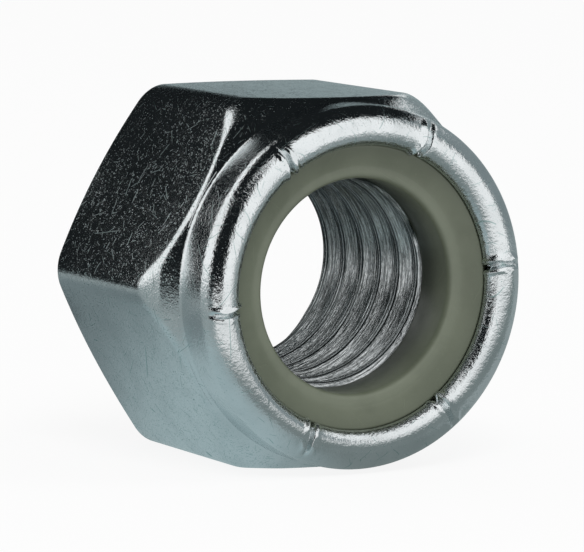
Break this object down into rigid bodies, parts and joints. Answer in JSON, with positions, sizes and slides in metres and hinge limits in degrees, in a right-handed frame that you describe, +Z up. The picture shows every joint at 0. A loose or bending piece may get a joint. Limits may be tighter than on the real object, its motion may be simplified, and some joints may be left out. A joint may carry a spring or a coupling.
{
  "type": "self-locking hexagon nut",
  "caption": "Steel hexagon nut with a threaded bore and a round collar whose crimped rim holds a polymer locking ring; it lies on one flat.",
  "frame": {"origin": "on the thread axis, at the bearing face; the nut lies on one of its flats", "axes": "+Y along the thread axis, out of the bearing face; -Y towards the collar; +Z up, square to the flat that the nut lies on"},
  "size_m": [0.0202, 0.0142, 0.018],
  "materials": {
    "zinc_plate": "bright zinc plate over forged steel, scratched and speckled on the flats",
    "ring_polymer": "moulded polymer, olive grey, soft sheen"
  },
  "bodies": {
    "root": {"nut_body": "zinc_plate", "insert_ring": "ring_polymer"}
  },
  "joints": []
}
